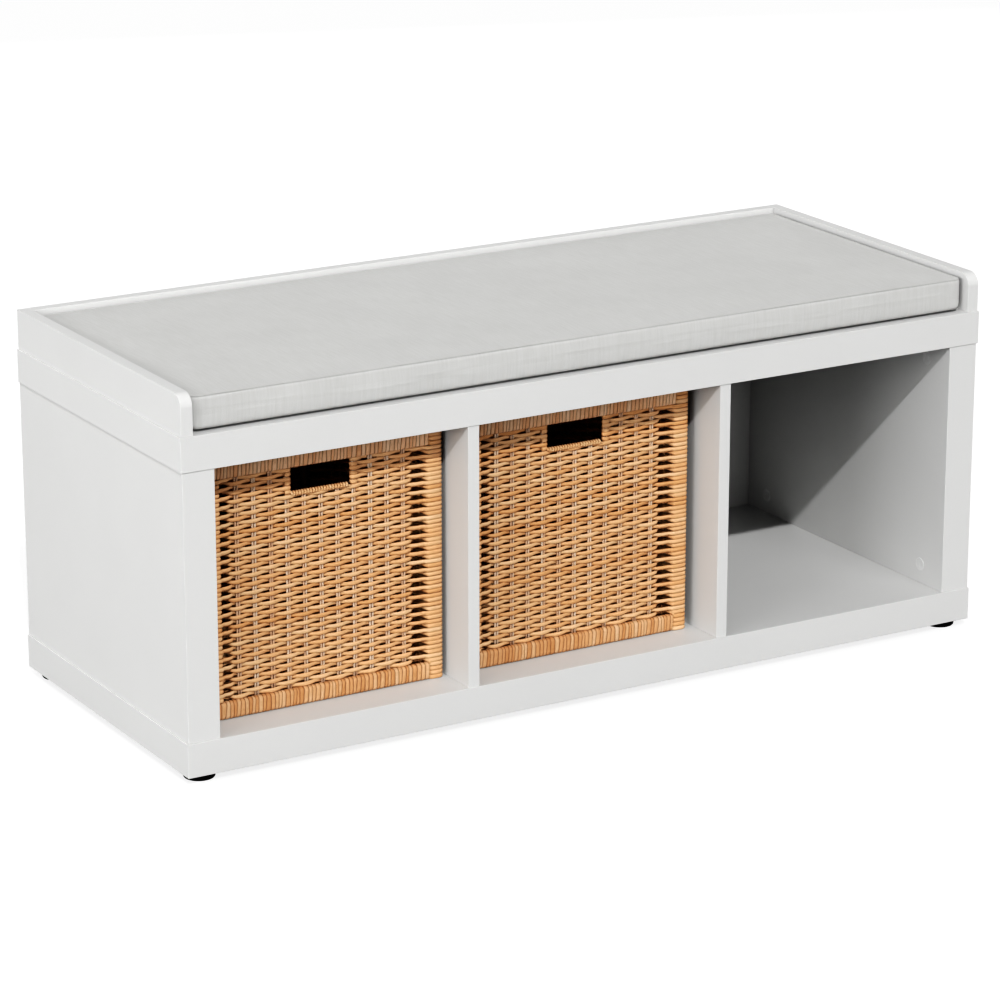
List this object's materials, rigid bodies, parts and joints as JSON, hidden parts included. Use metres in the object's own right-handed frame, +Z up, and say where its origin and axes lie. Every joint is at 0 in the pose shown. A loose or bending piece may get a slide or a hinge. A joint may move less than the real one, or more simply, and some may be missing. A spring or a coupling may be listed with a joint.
{
  "type": "entryway bench",
  "caption": "Low white storage bench with open bays, pull-out rattan baskets and a loose grey seat cushion held by a raised rim.",
  "frame": {"origin": "on the floor under the middle of the bench", "axes": "+X to the bench's right as seen from the front, +Y to its back (the front faces -Y), +Z up"},
  "size_m": [1.1, 0.442, 0.461],
  "materials": {
    "board": "matt white melamine-faced board with a faint grain of fine speckle",
    "back_sheet": "thin white-lacquered hardboard",
    "cap": "white moulded plastic cover cap",
    "foot": "black moulded plastic glide",
    "steel": "zinc-plated steel",
    "cushion_cloth": "light warm grey fine woven cloth with faint slubs",
    "foam": "open-cell cream foam",
    "zip": "grey zip tape with moulded teeth",
    "rattan": "honey-coloured peeled rattan, satin, with natural colour change from strand to strand"
  },
  "bodies": {
    "carcass": {"base_panel": "board", "top_panel": "board", "left_side_panel": "board", "right_side_panel": "board", "left_divider": "board", "right_divider": "board", "back_panel": "back_sheet", "left_rim": "board", "right_rim": "board", "back_rim": "board", "foot_front_left": "foot", "foot_front_right": "foot", "foot_back_left": "foot", "foot_back_right": "foot", "foot_screw_front_left": "steel", "foot_screw_front_right": "steel", "foot_screw_back_left": "steel", "foot_screw_back_right": "steel", "cam_fitting_left_front_low": "steel", "cam_fitting_left_front_high": "steel", "cam_fitting_left_back_low": "steel", "cam_fitting_left_back_high": "steel", "cam_fitting_right_front_low": "steel", "cam_fitting_right_front_high": "steel", "cam_fitting_right_back_low": "steel", "cam_fitting_right_back_high": "steel", "cam_cap_left_front_low": "cap", "cam_cap_left_front_high": "cap", "cam_cap_left_back_low": "cap", "cam_cap_left_back_high": "cap", "cam_cap_right_front_low": "cap", "cam_cap_right_front_high": "cap", "cam_cap_right_back_low": "cap", "cam_cap_right_back_high": "cap"},
    "cushion": {"cushion_cover": "cushion_cloth", "cushion_foam": "foam", "cushion_zip": "zip"},
    "zip_slider": {"zip_slider": "steel"},
    "left_basket": {"left_basket_front": "rattan", "left_basket_back": "rattan", "left_basket_left": "rattan", "left_basket_right": "rattan", "left_basket_post_front_left": "rattan", "left_basket_post_front_right": "rattan", "left_basket_post_back_left": "rattan", "left_basket_post_back_right": "rattan", "left_basket_top_border": "rattan", "left_basket_bottom_border": "rattan", "left_basket_base": "rattan"},
    "middle_basket": {"middle_basket_front": "rattan", "middle_basket_back": "rattan", "middle_basket_left": "rattan", "middle_basket_right": "rattan", "middle_basket_post_front_left": "rattan", "middle_basket_post_front_right": "rattan", "middle_basket_post_back_left": "rattan", "middle_basket_post_back_right": "rattan", "middle_basket_top_border": "rattan", "middle_basket_bottom_border": "rattan", "middle_basket_base": "rattan"}
  },
  "joints": [
    {"name": "cushion_lift", "type": "slide", "parent": "carcass", "child": "cushion", "axis": [0, 0, 1], "range_m": [0, 0.15]},
    {"name": "zip_slide", "type": "slide", "parent": "cushion", "child": "zip_slider", "axis": [-1, 0, 0], "range_m": [0, 0.88]},
    {"name": "left_basket_slide", "type": "slide", "parent": "carcass", "child": "left_basket", "axis": [0, -1, 0], "range_m": [0, 0.38]},
    {"name": "middle_basket_slide", "type": "slide", "parent": "carcass", "child": "middle_basket", "axis": [0, -1, 0], "range_m": [0, 0.38]}
  ]
}
